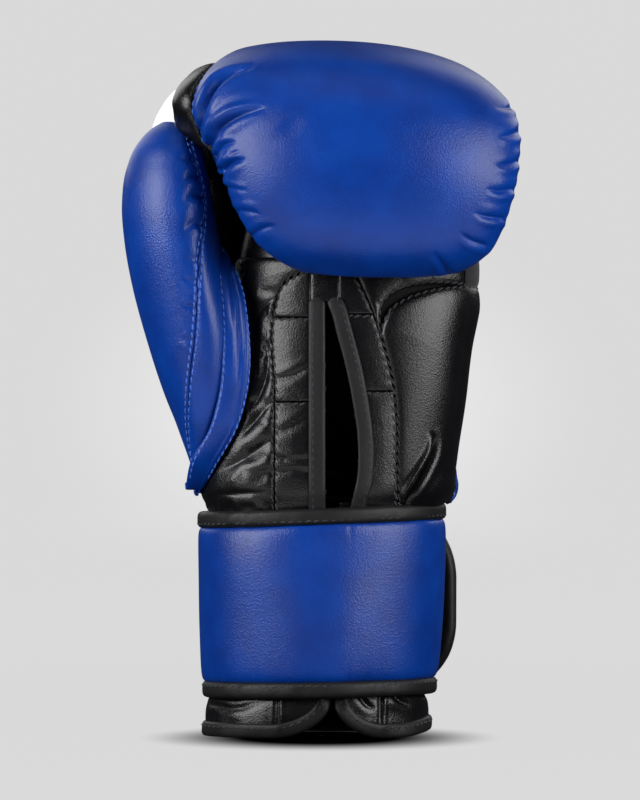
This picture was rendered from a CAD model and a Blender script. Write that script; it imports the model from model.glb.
import math

import bpy
import numpy as np
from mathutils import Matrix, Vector


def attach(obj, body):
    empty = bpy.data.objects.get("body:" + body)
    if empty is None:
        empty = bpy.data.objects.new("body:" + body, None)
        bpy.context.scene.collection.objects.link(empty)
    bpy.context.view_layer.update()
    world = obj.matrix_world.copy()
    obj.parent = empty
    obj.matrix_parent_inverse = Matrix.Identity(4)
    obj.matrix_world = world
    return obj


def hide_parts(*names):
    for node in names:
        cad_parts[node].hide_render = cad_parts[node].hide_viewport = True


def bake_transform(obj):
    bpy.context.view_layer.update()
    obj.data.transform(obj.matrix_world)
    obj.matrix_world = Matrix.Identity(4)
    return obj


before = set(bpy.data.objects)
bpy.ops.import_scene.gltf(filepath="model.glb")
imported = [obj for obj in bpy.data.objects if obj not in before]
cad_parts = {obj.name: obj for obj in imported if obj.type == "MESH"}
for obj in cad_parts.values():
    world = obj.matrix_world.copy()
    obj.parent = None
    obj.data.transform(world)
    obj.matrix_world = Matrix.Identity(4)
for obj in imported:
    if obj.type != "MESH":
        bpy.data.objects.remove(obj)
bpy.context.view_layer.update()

# A padded boxing glove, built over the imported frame. Lengths are in millimetres, and mesh_object() turns them
# into metres. The palm faces -Y, the thumb is at -X, and the glove stands on its cuff at z = 0.

MM = 0.001
scene = bpy.context.scene


# ---- numbers ------------------------------------------------------------------------------------

def ease(x):
    x = np.clip(x, 0, 1)
    return x * x * (3 - 2 * x)


def spline(knots, values, at):
    """Smooth curve through values (rows) given at knots, read off at any positions."""
    knots = np.asarray(knots, float)
    values = np.asarray(values, float)
    at = np.asarray(at, float)
    slopes = np.gradient(values, knots, axis=0)
    k = np.clip(np.searchsorted(knots, at) - 1, 0, len(knots) - 2)
    h = knots[k + 1] - knots[k]
    s = np.clip((at - knots[k]) / h, 0, 1)
    if values.ndim > 1:
        h, s = h[..., None], s[..., None]
    a = (1 + 2 * s) * (1 - s) ** 2 * values[k] + s * (1 - s) ** 2 * h * slopes[k]
    return a + s * s * (3 - 2 * s) * values[k + 1] + s * s * (s - 1) * h * slopes[k + 1]


def signed_power(x, exponent):
    return np.sign(x) * np.abs(x) ** exponent


def unit(vectors):
    return vectors / np.maximum(np.linalg.norm(vectors, axis=-1, keepdims=True), 1e-9)


def running(points):
    """Running length along a line of points."""
    return np.concatenate([[0], np.cumsum(np.linalg.norm(np.diff(points, axis=0), axis=1))])


def read_along(at, run, rows):
    """Rows of values given at running lengths, read off at others."""
    return np.stack([np.interp(at, run, column) for column in rows.T], -1)


def read_table(table, at):
    """The columns after a table's first one, read off smoothly at values of the first."""
    return np.moveaxis(spline(table[:, 0], table[:, 1:], at), -1, 0)


def eased(rows, times=1):
    """Evens out each row with its neighbours, in place. The first and the last stay."""
    for _ in range(times):
        rows[1:-1] = (rows[:-2] + 2 * rows[1:-1] + rows[2:]) / 4
    return rows


def level(value):
    """A line at the same value for every height or station."""
    return lambda at: value + 0 * at


def lattice(p, seed):
    """A fixed number from -1 to 1 for each whole-number point."""
    h = (p[..., 0] * 73856093) ^ (p[..., 1] * 19349663) ^ (p[..., 2] * 83492791) ^ (seed * 2654435761)
    h = (h ^ (h >> 13)) * 1274126177
    return ((h ^ (h >> 16)) & 0xFFFF) / 32767.5 - 1


def noise(p, seed=0):
    """Smooth noise from -1 to 1 at points p, with a unit cell."""
    p = np.asarray(p, float)
    cell = np.floor(p).astype(np.int64)
    f = p - cell
    f = f * f * f * (f * (f * 6 - 15) + 10)
    total = 0
    for corner in np.ndindex(2, 2, 2):
        c = np.array(corner)
        weight = np.prod(np.where(c, f, 1 - f), axis=-1)
        total = total + weight * lattice(cell + c, seed)
    return total


def noise1(s, seed=0):
    s = np.asarray(s, float)
    return noise(np.stack([s, np.full_like(s, 0.37 + seed * 1.7), np.full_like(s, 0.61)], -1), seed)


# ---- grids of points ----------------------------------------------------------------------------

def lengths(P):
    """Running length along the rows and along the columns of a grid."""
    along = np.zeros(P.shape[:2])
    along[1:] = np.cumsum(np.linalg.norm(np.diff(P, axis=0), axis=2), axis=0)
    across = np.zeros(P.shape[:2])
    across[:, 1:] = np.cumsum(np.linalg.norm(np.diff(P, axis=1), axis=2), axis=1)
    return along, across


def grid_normals(P, core, closed=False):
    """Unit normals of a grid, pointing away from core: a point, or one for each row. closed says that the
    columns go all the way round."""
    across = np.roll(P, -1, 1) - np.roll(P, 1, 1) if closed else np.gradient(P, axis=1)
    n = unit(np.cross(np.gradient(P, axis=0), across))
    core = np.asarray(core, float)
    core = core[:, None, :] if core.ndim == 2 else core
    return n * np.sign(np.sum(n * (P - core)))


def edge_fields(P, edges):
    """For each named edge (a, b: first and last row; c, d: first and last column), the distance to it and the
    length along it."""
    along, across = lengths(P)
    fields = {"a": (along, across[:1]), "b": (along[-1:] - along, across[-1:]),
              "c": (across, along[:, :1]), "d": (across[:, -1:] - across, along[:, -1:])}
    return [(d, np.broadcast_to(s, d.shape)) for d, s in (fields[e] for e in edges)]


def upholster(P, N, edges, tuck=2.2, soft=1.8, gather=0.0, pitch=7.0, reach=9.0, crown=0.0, seed=1):
    """Offsets a panel along its normals: it dips into its seams, puckers beside them and crowns between."""
    offset = np.zeros(P.shape[:2])
    nearest = np.full(P.shape[:2], 1e9)
    for i, (d, s) in enumerate(edge_fields(P, edges)):
        nearest = np.minimum(nearest, d)
        if gather:
            slant = s / pitch + 0.5 * noise1(s / 31, seed + i) * d / reach
            fold = (1 - np.abs(noise1(slant, seed + 11 * i))) ** 5
            swell = noise1(slant * 0.83 + 5, seed + 7 * i)
            strength = gather * (0.35 + 0.65 * ease(0.5 + noise1(s / 43, seed + 3 * i)))
            offset += strength * np.exp(-(d / reach)) * ease(d / 1.2) * (0.5 * swell - fold)
    offset += crown * (1 - np.exp(-nearest / 14)) - tuck * np.exp(-nearest / soft)
    return P + N * offset[..., None]


def spread(count, rim, total):
    """Positions from 0 to 1, closer together near both ends, where the panel rolls into a seam."""
    near = np.array([0, rim, 2.1 * rim, 3.5 * rim, 5.2 * rim, 7.2 * rim]) / total
    return np.concatenate([near, np.linspace(near[-1], 1 - near[-1], count)[1:-1], 1 - near[::-1]])


def crease(P, N, lines):
    """Presses folds into a surface along lines of (x, z, depth, width), seen square on from the palm side."""
    offset = np.zeros(P.shape[:2])
    facing = ease(-N[..., 1] * 4 + 0.6)
    flat = P[..., [0, 2]]
    for line in lines:
        line = np.asarray(line, float)
        fine = spline(np.arange(len(line)), line, np.linspace(0, len(line) - 1, 8 * len(line)))
        best = np.full(P.shape[:2], 1e9)
        side = np.zeros(P.shape[:2])
        depth = np.zeros(P.shape[:2])
        width = np.ones(P.shape[:2])
        for p, q in zip(fine[:-1], fine[1:]):
            d = q[:2] - p[:2]
            t = np.clip(((flat - p[:2]) @ d) / max(d @ d, 1e-9), 0, 1)
            gap = flat - (p[:2] + t[..., None] * d)
            dist = np.linalg.norm(gap, axis=2)
            closer = dist < best
            best = np.where(closer, dist, best)
            side = np.where(closer, np.sign(d[0] * gap[..., 1] - d[1] * gap[..., 0]), side)
            depth = np.where(closer, p[2] + t * (q[2] - p[2]), depth)
            width = np.where(closer, p[3] + t * (q[3] - p[3]), width)
        x = best * side / width
        fold = np.exp(-2.0 * np.abs(x) ** 1.4) - 0.45 * np.exp(-((x - 1.8) / 1.0) ** 2)
        fold -= 0.22 * np.exp(-((x + 2.2) / 1.3) ** 2)
        offset -= depth * fold * facing
    return P + N * offset[..., None]


def resample(field, rows, columns):
    """A field of vectors on an even grid, read smoothly at other rows and columns (each from 0 to 1)."""
    first = spline(np.linspace(0, 1, field.shape[0]), field.reshape(field.shape[0], -1), rows)
    first = first.reshape(len(rows), field.shape[1], 3).transpose(1, 0, 2)
    second = spline(np.linspace(0, 1, field.shape[1]), first.reshape(field.shape[1], -1), columns)
    return second.reshape(len(columns), len(rows), 3).transpose(1, 0, 2)


# ---- meshes -------------------------------------------------------------------------------------

def mesh_object(name, vertices, faces, material=None):
    data = bpy.data.meshes.new(name)
    data.from_pydata((np.asarray(vertices, float) * MM).tolist(), [], faces)
    data.polygons.foreach_set("use_smooth", [True] * len(data.polygons))
    data.validate()
    obj = bpy.data.objects.new(name, data)
    scene.collection.objects.link(obj)
    if material:
        data.materials.append(material)
    return obj


def grid_faces(rows, columns, closed=False):
    index = np.arange(rows * columns).reshape(rows, columns)
    if closed:
        index = np.hstack([index, index[:, :1]])
    corners = [index[:-1, :-1], index[1:, :-1], index[1:, 1:], index[:-1, 1:]]
    return np.stack(corners, -1).reshape(-1, 4).tolist()


def grid_object(name, P, material=None, closed=False, outward=None):
    """A surface from a grid of points. outward has its normals, with or without those of the turned-in edges,
    and the faces are turned to agree with the one in the middle."""
    faces = grid_faces(P.shape[0], P.shape[1], closed)
    if outward is not None:
        i, j = P.shape[0] // 2, P.shape[1] // 2
        turn = np.cross(P[i + 1, j] - P[i, j], P[i, j + 1] - P[i, j])
        if np.dot(turn, outward[outward.shape[0] // 2, outward.shape[1] // 2]) < 0:
            faces = [f[::-1] for f in faces]
    return mesh_object(name, P.reshape(-1, 3), faces, material)


def rolled(P, N, depth=3.0, edges="abcd"):
    """The grid with one more row at each named edge, turned in under the panel, so that no raw edge shows."""
    under = -N * depth
    if "a" in edges:
        P = np.concatenate([P[:1] + under[:1], P])
        under = np.concatenate([under[:1], under])
    if "b" in edges:
        P = np.concatenate([P, P[-1:] + under[-1:]])
        under = np.concatenate([under, under[-1:]])
    if "c" in edges:
        P = np.concatenate([P[:, :1] + under[:, :1], P], axis=1)
        under = np.concatenate([under[:, :1], under], axis=1)
    if "d" in edges:
        P = np.concatenate([P, P[:, -1:] + under[:, -1:]], axis=1)
    return P


CLOTH_FRAMES = 18
SLIDE = 2.0      # furthest that a point of the cloth may move along its surface


def cloth_move(P, N, pressure, grow, low, high, ironed=0):
    """Lets the panel settle as cloth sewn down at its edges, cut a little too large and blown up from inside.
    Returns how each point of the grid moves, capped to between low and high millimetres along the normal.
    ironed is how many times the small wrinkles are evened out."""
    obj = grid_object("settling_cloth", P, outward=N)
    rows, columns = P.shape[:2]
    index = np.arange(rows * columns).reshape(rows, columns)
    rim = [index[0], index[-1], index[:, 0], index[:, -1]]
    obj.vertex_groups.new(name="sewn").add(sorted({int(i) for edge in rim for i in edge}), 1.0, "REPLACE")
    modifier = obj.modifiers.new("cloth", "CLOTH")
    settings = dict(
        quality=5, mass=0.15, tension_stiffness=12, compression_stiffness=12, shear_stiffness=4,
        bending_stiffness=0.4, tension_damping=12, compression_damping=12, shear_damping=12, air_damping=4,
        use_pressure=True, uniform_pressure_force=pressure, vertex_group_mass="sewn", shrink_min=-grow)
    for key, value in settings.items():
        setattr(modifier.settings, key, value)
    modifier.settings.effector_weights.gravity = 0
    modifier.point_cache.frame_end = CLOTH_FRAMES + 2
    for frame_number in range(1, CLOTH_FRAMES + 1):
        scene.frame_set(frame_number)
    settled = obj.evaluated_get(bpy.context.evaluated_depsgraph_get())
    moved = np.empty(rows * columns * 3)
    settled.data.vertices.foreach_get("co", moved)
    bpy.data.objects.remove(obj, do_unlink=True)
    scene.frame_set(1)
    move = np.nan_to_num(moved.reshape(rows, columns, 3) / MM - P)
    for _ in range(ironed):
        eased(move)
        eased(move.transpose(1, 0, 2))
    out = np.sum(move * N, axis=2)
    along = move - N * out[..., None]
    size = np.linalg.norm(along, axis=2, keepdims=True)
    along *= np.minimum(1, SLIDE / np.maximum(size, 1e-6))
    return along + N * np.clip(out, low, high)[..., None]


# ---- materials ----------------------------------------------------------------------------------

def linear(rgb):
    return [((c / 255 + 0.055) / 1.055) ** 2.4 if c > 10 else c / 255 / 12.92 for c in rgb] + [1.0]


def feed(node, inputs):
    """Sets a node's inputs by name or number. An output of another node is linked, the rest are values."""
    for key, value in inputs.items():
        if isinstance(value, bpy.types.NodeSocket):
            node.id_data.links.new(value, node.inputs[key])
        else:
            node.inputs[key].default_value = value


def new_material(name):
    """A material, its shader, the object's own coordinates, and a function that adds nodes."""
    material = bpy.data.materials.new(name)
    material.use_nodes = True
    nodes = material.node_tree.nodes

    def node(kind, inputs, **settings):
        made = nodes.new("ShaderNode" + kind)
        for key, value in settings.items():
            setattr(made, key, value)
        feed(made, inputs)
        return made

    return material, nodes["Principled BSDF"], nodes.new("ShaderNodeTexCoord").outputs["Object"], node


MOTTLE = 55


def leather(name, dark, light, rough, grain, scale, specular=0.5):
    """Coated leather: a fine pebble, a slow mottle and faint wrinkles in both colour and height."""
    material, shader, place, node = new_material(name)
    pebble = node("TexVoronoi", {"Vector": place, "Scale": scale, "Smoothness": 0.6}, feature="SMOOTH_F1")
    fine, slow = (
        node("TexNoise", {"Vector": place, "Scale": size, "Detail": 3.0, "Roughness": harsh}).outputs["Fac"]
        for size, harsh in ((scale * 1.1, 0.6), (MOTTLE, 0.55)))
    colours = node("ValToRGB", {"Fac": slow})
    for element, position, colour in zip(colours.color_ramp.elements, (0.32, 0.70), (dark, light)):
        element.position = position
        element.color = linear(colour)
    shine = node("MapRange", {"Value": fine, "From Min": 0.3, "From Max": 0.7,
                              "To Min": rough[0], "To Max": rough[1]})
    first = node("Bump", {"Strength": grain, "Distance": 0.00022, "Height": pebble.outputs["Distance"]})
    second = node("Bump", {"Strength": grain * 0.6, "Distance": 0.0002, "Height": fine,
                           "Normal": first.outputs["Normal"]})
    feed(shader, {"Base Color": colours.outputs["Color"], "Roughness": shine.outputs["Result"],
                  "Normal": second.outputs["Normal"], "Specular IOR Level": specular})
    return material


def woven(name, colour, weave, rough, sheen=0.15, strength=0.5, fuzz=0.25):
    """A plain weave or tape: crossed ribs in the height, broken up by noise, and a dull sheen."""
    material, shader, place, node = new_material(name)
    wave = {"Vector": place, "Scale": weave / 6.3, "Distortion": 0.6}
    ribs = [node("TexWave", wave, bands_direction=direction) for direction in "XZ"]
    cross = node("Math", {0: ribs[0].outputs["Fac"], 1: ribs[1].outputs["Fac"]}, operation="MAXIMUM")
    speck = node("TexNoise", {"Vector": place, "Scale": 420}).outputs["Fac"]
    dark, light = ([0.72 * c for c in colour], [min(255, 1.25 * c + 4) for c in colour])
    mix = node("Mix", {"A": linear(dark), "B": linear(light), "Factor": speck}, data_type="RGBA")
    height = node("Math", {0: cross.outputs["Value"], 1: 1 - fuzz, 2: speck}, operation="MULTIPLY_ADD")
    bump = node("Bump", {"Strength": strength, "Distance": 0.0004, "Height": height.outputs["Value"]})
    feed(shader, {"Base Color": mix.outputs["Result"], "Normal": bump.outputs["Normal"], "Roughness": rough,
                  "Sheen Weight": sheen, "Specular IOR Level": 0.3})
    return material


BLUE = leather("blue_leather", (0, 43, 122), (0, 54, 140), (0.29, 0.37), 0.40, 1500, 0.33)
BLACK = leather("black_leather", (6, 6, 8), (11, 11, 13), (0.25, 0.34), 0.36, 1500, 0.38)
WHITE = leather("white_leather", (246, 246, 248), (252, 252, 254), (0.35, 0.5), 0.25, 900)
BINDING = leather("binding_leather", (14, 14, 16), (22, 22, 24), (0.45, 0.6), 0.25, 1300, 0.28)
THREAD_BLACK = woven("black_thread", (34, 34, 37), weave=5200, rough=0.6, strength=0.4)
THREAD_BLUE = woven("blue_thread", (58, 98, 188), weave=5200, rough=0.6, strength=0.4)
LINING = woven("lining_fabric", (6, 6, 7), weave=2200, rough=0.95, strength=0.4)
MESH = woven("gusset_fabric", (24, 24, 26), weave=1900, rough=0.85, strength=0.5)
LOOP = woven("loop_tape", (20, 20, 21), weave=3000, rough=1.0, sheen=0.5, fuzz=0.8)
HOOK = woven("hook_tape", (17, 17, 18), weave=5000, rough=0.7, strength=1.0)


# ---- stitches and bindings ----------------------------------------------------------------------

def frames_along(points, normals, pitch):
    """Evenly spaced places on a line over a surface: position, unit tangent, unit normal."""
    points = np.asarray(points, float)
    normals = np.asarray(normals, float)
    run = running(points)
    keep = np.concatenate([[True], np.diff(run) > 1e-6])
    run, points, normals = run[keep], points[keep], normals[keep]
    at = np.arange(pitch / 2, run[-1], pitch)
    tangent = unit(read_along(at + 0.6, run, points) - read_along(at - 0.6, run, points))
    normal = read_along(at, run, normals)
    normal = unit(normal - tangent * np.sum(normal * tangent, axis=1, keepdims=True))
    return read_along(at, run, points), tangent, normal


def stitch_row(points, normals, seed, pitch, length, thick, slant=0.12):
    """Vertices and faces of a row of stitches: small threads that rise out of the leather and sink again."""
    place, tangent, normal = frames_along(points, normals, pitch)
    side = np.cross(normal, tangent)
    vertices, faces = [], []
    ring = 6
    steps = np.linspace(-1, 1, 5)
    last = (len(steps) - 1) * ring
    angle = np.arange(ring) * 2 * math.pi / ring
    for i, (p, t, n, s) in enumerate(zip(place, tangent, normal, side)):
        lean = slant + 0.05 * lattice(np.array([i, seed, 5]), seed)
        t = t + s * lean
        start = len(vertices)
        for x in steps:
            centre = p + t * (x * length / 2) + n * (0.34 * thick - 0.75 * thick * x * x)
            radius = thick * (1 - 0.35 * x * x)
            vertices += [centre + radius * (math.cos(a) * s + 0.8 * math.sin(a) * n) for a in angle]
        for k in range(start, start + last, ring):
            for m in range(ring):
                a, b = k + m, k + (m + 1) % ring
                faces.append([a, b, b + ring, a + ring])
        faces += [[start + m for m in range(ring)][::-1], [start + last + m for m in range(ring)]]
    return vertices, faces


def stitches(name, rows, material, **options):
    """Several rows of stitches joined into one object."""
    vertices, faces = [], []
    for number, (points, normals) in enumerate(rows):
        v, f = stitch_row(points, normals, number + 3, **options)
        faces += [[k + len(vertices) for k in face] for face in f]
        vertices += v
    return mesh_object(name, vertices, faces, material)


def inset_row(P, N, edge, inset):
    """The line on a finished panel that runs a given distance inside one of its edges."""
    distance, _ = edge_fields(P, edge)[0]
    if edge in "cd":
        P, N, distance = P.transpose(1, 0, 2), N.transpose(1, 0, 2), distance.T
    if edge in "bd":
        P, N, distance = P[::-1], N[::-1], distance[::-1]
    points, normals = [], []
    for k in range(P.shape[1]):
        d = distance[:, k]
        i = min(max(int(np.searchsorted(d, inset)), 1), len(d) - 1)
        t = np.clip((inset - d[i - 1]) / max(d[i] - d[i - 1], 1e-9), 0, 1)
        points.append(P[i - 1, k] + t * (P[i, k] - P[i - 1, k]))
        normals.append(N[i - 1, k] + t * (N[i, k] - N[i - 1, k]))
    return np.array(points), np.array(normals)


def tape(name, points, normals, half, thick, material, ends=True, wobble=0.12):
    """A folded binding or strap laid along a line: a flat oval section, half wide each way, standing on the
    surface. ends narrows it at both ends."""
    points = np.asarray(points, float)
    normals = np.asarray(normals, float)
    tangent = unit(np.gradient(points, axis=0))
    normals = unit(normals - tangent * np.sum(normals * tangent, axis=1, keepdims=True))
    side = np.cross(normals, tangent)
    run = running(points)
    section = np.arange(22)
    angle = section * 2 * math.pi / len(section)
    x = signed_power(np.cos(angle), 0.62)
    y = signed_power(np.sin(angle), 0.8)
    taper = np.sqrt(np.clip(np.minimum(run, run[-1] - run) / 1.5, 0.02, 1)) if ends else np.ones(len(run))
    taper = taper[:, None, None]
    ripple = 1 + wobble * noise1((run / 5)[:, None] + 0.13 * section, 4)
    P = (points[:, None] + side[:, None] * (half * x)[:, None] * taper
         + normals[:, None] * (thick * y * ripple)[..., None] * taper)
    faces = grid_faces(len(run), len(section), closed=True)
    if np.dot(np.cross(P[1, 0] - P[0, 0], P[0, 1] - P[0, 0]), grid_normals(P, points, closed=True)[0, 0]) < 0:
        faces = [f[::-1] for f in faces]
    faces.append(section.tolist())
    faces.append(((len(run) - 1) * len(section) + section)[::-1].tolist())
    return mesh_object(name, P.reshape(-1, 3), faces, material)


# ---- the forms that the panels lie on -----------------------------------------------------------

# padded mitt: for each station, the inner and outer point of the pad seen from the side (y, z), its left and
# right edge and its lean; it runs up the back of the hand, over the knuckles and down to its lip
MITT = np.array([
    [25, 97, 40, 97, -47, 57.5, 0], [25, 125, 50, 124, -51, 57.5, 0], [25, 160, 58, 162, -59, 61, 0],
    [22, 200, 64, 203, -69, 67, 0], [14, 230, 65, 242, -72, 74, 0], [6, 239, 52, 266.5, -70.5, 72, -2],
    [-1, 242, 22, 281, -64, 66.5, -5], [-8, 241, -11, 285.8, -58.5, 70, -6],
    [-14, 239, -42, 277.5, -60, 76, -5], [-20, 234, -60, 262, -47, 78.5, -2],
    [-25, 225, -68, 240, -39.5, 77.5, 0], [-29, 215, -67.5, 219, -33, 74, 0],
    [-31, 206, -61.5, 201.5, -23.5, 68.5, 0], [-33, 199.5, -49, 191.5, -10.5, 59, 0],
    [-37, 196.5, -41, 193.5, -2, 52, 0],
], float)


def mitt_station(t):
    """Inner and outer point, left and right edge and lean of the mitt at any stations."""
    s = spline(np.arange(len(MITT)), MITT, t)
    return s[..., 0:2], s[..., 2:4], s[..., 4], s[..., 5], s[..., 6]


def mitt(t, angle):
    """The mitt's surface. angle is 0 at the heel side, 90 degrees outside and 180 at the thumb side."""
    inner, outer, left, right, lean = mitt_station(t)
    c, e = np.cos(angle), np.sin(angle)
    roundness = np.where(e > 0, 2 / 2.15, 2 / 3.2)
    up = signed_power(e, roundness)
    x = (left + right) / 2 + lean * np.maximum(up, 0) + (right - left) / 2 * signed_power(c, roundness)
    yz = (inner + outer) / 2 + (outer - inner) / 2 * up[..., None]
    return np.stack([x, yz[..., 0], yz[..., 1]], -1)


def mitt_core(t):
    inner, outer, left, right, _ = mitt_station(t)
    middle = (inner + outer) / 2
    return np.stack([(left + right) / 2, middle[..., 0], middle[..., 1]], -1)


# the hand part under the mitt: height, left edge, right edge, front, back
HAND = np.array([
    [84, -45, 45.5, -34.6, 34], [90, -46, 46.5, -35.2, 34.5], [96, -47.5, 49, -36, 33],
    [101, -49.5, 53, -37.5, 31], [110, -49, 54.5, -38, 29], [121, -47, 56, -38, 28],
    [141, -42, 59.5, -37, 27], [161, -38, 62, -36, 26], [181, -36, 65, -34.5, 25],
    [203, -35, 64.5, -32, 21], [225, -26, 56, -25, 14], [238, -12, 40, -13, 4],
], float)


HAND_ROUND = 0.92


def hand(angle, z, grow=0.0):
    """The surface of the hand part. angle is 0 at the palm's middle, 90 degrees at the heel side."""
    left, right, front, back = read_table(HAND, z)
    s, c = np.sin(angle), np.cos(angle)
    x = (left + right) / 2 + ((right - left) / 2 + grow) * signed_power(s, HAND_ROUND)
    middle = -4.0
    depth = np.where(c > 0, middle - front, back - middle) + grow
    return np.stack([x, middle - depth * signed_power(c, HAND_ROUND), np.broadcast_to(z, x.shape)], -1)


def share_of_half(x, left, right):
    """Where x lies between two edges, from -1 to 1."""
    return np.clip((x - (left + right) / 2) / ((right - left) / 2), -1, 1)


def angle_at(x, z):
    """The angle on the palm at which the hand part reaches a given x."""
    left, right, _, _ = read_table(HAND, z)
    return np.arcsin(signed_power(share_of_half(x, left, right), 1 / HAND_ROUND))


SLIT_LEFT = 1.2
SLIT_TOP = 181.0


def slit_right(z):
    return spline([90, 97, 106, 123, 138, 154, 168, 177, 181],
                  [11, 12.3, 14.4, 15, 13.1, 10, 6.3, 3.9, 2.2], z)


def bold_seam(z):
    return spline([90, 98, 113, 133, 150, 164, 178, 189, 200],
                  [31.6, 31.4, 31, 30.6, 28.4, 24.6, 19.9, 14.8, 9], z)


def thumb_seam(z):
    return spline([90, 98, 140, 181, 186, 190, 194, 200], [-19.6, -19.6, -19.6, -19, -17.2, -12.5, -4, 2], z)


# thumb: height, left, right, front, back
THUMB = np.array([
    [100.5, -51.5, -50, -12, -6], [104, -52.5, -50, -15, -3],
    [113, -54.8, -49, -21, 2], [127, -59.5, -44, -28, 8],
    [144, -65.6, -39.5, -32.5, 12], [165, -72, -38, -35.5, 13], [186, -77.5, -40, -37, 12.5],
    [206, -81, -43, -37.5, 10.5],
    [221, -82, -45.5, -36.5, 8.5], [236, -80, -48, -33, 5.5],
    [246, -75.5, -50.5, -28.5, 1], [252, -70, -55, -22.5, -5],
    [255, -65.5, -60.5, -17, -11],
], float)


THUMB_ROUND = 0.93


def thumb(angle, z):
    """The thumb's surface. angle is 0 towards the fist, 90 degrees on the palm side, 180 outside."""
    left, right, front, back = read_table(THUMB, z)
    c, s = np.cos(angle), np.sin(angle)
    x = (left + right) / 2 + (right - left) / 2 * signed_power(c, THUMB_ROUND)
    square = 0.5 * ease(c * 3) * (s > 0) * ease((210 - z) / 50)
    y = (front + back) / 2 - (back - front) / 2 * signed_power(s, THUMB_ROUND - square)
    y = y - 0.2 * (right - left) * c * np.maximum(s, 0)
    return np.stack([x, y, np.broadcast_to(z, x.shape)], -1)


def thumb_angle(x, z):
    left, right, _, _ = read_table(THUMB, z)
    return np.arccos(signed_power(share_of_half(x, left, right), 1 / THUMB_ROUND))


def thumb_core(z):
    return np.array([thumb(np.array([0, math.pi]), np.full(2, height)).mean(0) for height in z])


# ---- sewn panels --------------------------------------------------------------------------------

FINE = 1.0
PUFF = []        # pieces with filling, declared at the end


def places(rows, columns, rims, totals):
    return [spread(int(count * FINE), rim, total) for count, rim, total in zip((rows, columns), rims, totals)]


def sewn(name, surface, u, v, material=BLACK, edges="abcd", settle=None, coarse=None, folds=(), swell=None,
         lip=2.5, lips="abcd", square_lips=False, **shape):
    """A sewn panel. surface gives its points and a middle line for rows u and columns v. It settles as cloth
    on a coarse grid, is upholstered at its edges, swollen, folded and turned under: with square_lips straight
    in, and else along the puckered surface's normals. Returns the object, its points and its normals."""
    P, core = surface(u, v)
    if settle:
        rows, columns = (np.linspace(0, 1, count) for count in coarse)
        C, coarse_core = surface(rows, columns)
        P = P + resample(cloth_move(C, grid_normals(C, coarse_core), **settle), u, v)
    smooth = grid_normals(P, core)
    P = upholster(P, smooth, edges, **shape)
    if swell:
        P = P + smooth * swell(P)[..., None]
    if len(folds):
        P = crease(P, smooth, folds)
    N = grid_normals(P, core)
    return grid_object(name, rolled(P, smooth if square_lips else N, lip, lips), material, outward=N), P, N


# ---- mitt ---------------------------------------------------------------------------------------

def mitt_panel(name, t0, t1, first, last, rows, columns, material, dense=False, **shape):
    """A panel of the mitt between two curves of angle over its stations. dense puts more of its points over
    the fist, towards the thumb."""
    def surface(u, v):
        t = t0 + (t1 - t0) * u[:, None] + 0 * v[None, :]
        a = np.radians(first(t) + (last(t) - first(t)) * v[None, :])
        return mitt(t, a), mitt_core(t0 + (t1 - t0) * u)
    u, v = places(rows, columns, (0.5, 0.5), (260, 170))
    if dense:
        u, v = np.interp(u, [0, 0.33, 1], [0, 0.46, 1]), v ** 0.8
    return sewn(name, surface, u, v, material, coarse=(60, 40), lip=3.0, square_lips=True, **shape)


STATIONS = [0, 3, 5, 6.3, 7, 7.5, 8, 8.4, 8.75, 9.1, 14]
BLUE_EDGE = [124, 128, 128, 128, 131, 137, 146, 162, 188, 208, 212]
BLACK_STATIONS = [0, 3, 5, 6, 6.8, 7.4, 7.9, 8.4, 9.1]
BLACK_EDGE = [140, 146, 148, 153, 166, 184, 201, 211, 212]

FIST_FOLDS = [
    [(-50.6, 249, 1.0, 1.5), (-48.6, 260, 3.0, 1.7), (-43.5, 269.4, 3.2, 1.7), (-36.8, 274, 2.2, 1.4),
     (-27.5, 276.5, 0.0, 1.1)],
    [(-45.8, 244, 1.2, 1.6), (-42.8, 250.7, 3.2, 1.8), (-37.5, 254.8, 3.4, 1.8), (-30.9, 257.4, 2.2, 1.5),
     (-23, 258.9, 0.0, 1.2)],
    [(-43.5, 240, 1.2, 1.1), (-40.2, 244, 1.5, 1.2), (-35, 245.2, 0.0, 0.9)],
    [(-38.5, 239, 0.3, 1.0), (-36, 240.4, 0.7, 1.0), (-33, 241.6, 0.0, 0.8)],
    [(-42.5, 232, 2.2, 1.6), (-37.5, 236.6, 2.4, 1.5), (-31, 238, 0.0, 1.1)],
    [(-40, 227, 0.9, 1.2), (-33.5, 225.6, 0.5, 1.0), (-30, 225.4, 0.0, 1.0)],
    [(-35, 217, 0.8, 1.6), (-30, 216.5, 0.9, 1.6), (-25, 216, 0.0, 1.3)],
    [(-31, 205.5, 0.6, 1.6), (-24.5, 209.5, 1.0, 1.6), (-18, 211, 0.0, 1.3)],
    [(82, 262, 1.0, 1.5), (76.5, 260, 1.1, 1.5), (71, 259.5, 0.0, 1.3)],
    [(83, 251, 1.4, 1.6), (77.5, 248.5, 1.3, 1.6), (72, 247.5, 0.0, 1.3)],
    [(81.5, 238, 1.1, 1.4), (76, 236, 1.2, 1.5), (70.5, 236, 0.0, 1.3)],
    [(78, 226, 1.3, 1.5), (72.5, 225, 1.3, 1.5), (67, 226, 0.0, 1.3)],
    [(74, 214, 1.1, 1.5), (67.5, 214.5, 1.2, 1.5), (61.5, 216.5, 0.0, 1.3)],
    [(66, 203, 1.0, 1.5), (60.5, 205, 1.0, 1.5), (55.5, 209, 0.0, 1.3)],
    [(52, 191, 0.7, 1.6), (49, 195.5, 0.9, 1.6), (45, 200.5, 0.0, 1.4)],
]


def heel_edge(t):
    return spline([0, 5, 7, 9, 14], [-24, -24, -30, -38, -38], t)


def blue_edge(t):
    return spline(STATIONS, BLUE_EDGE, t)


def black_edge(t):
    return spline(BLACK_STATIONS, BLACK_EDGE, t)


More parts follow.
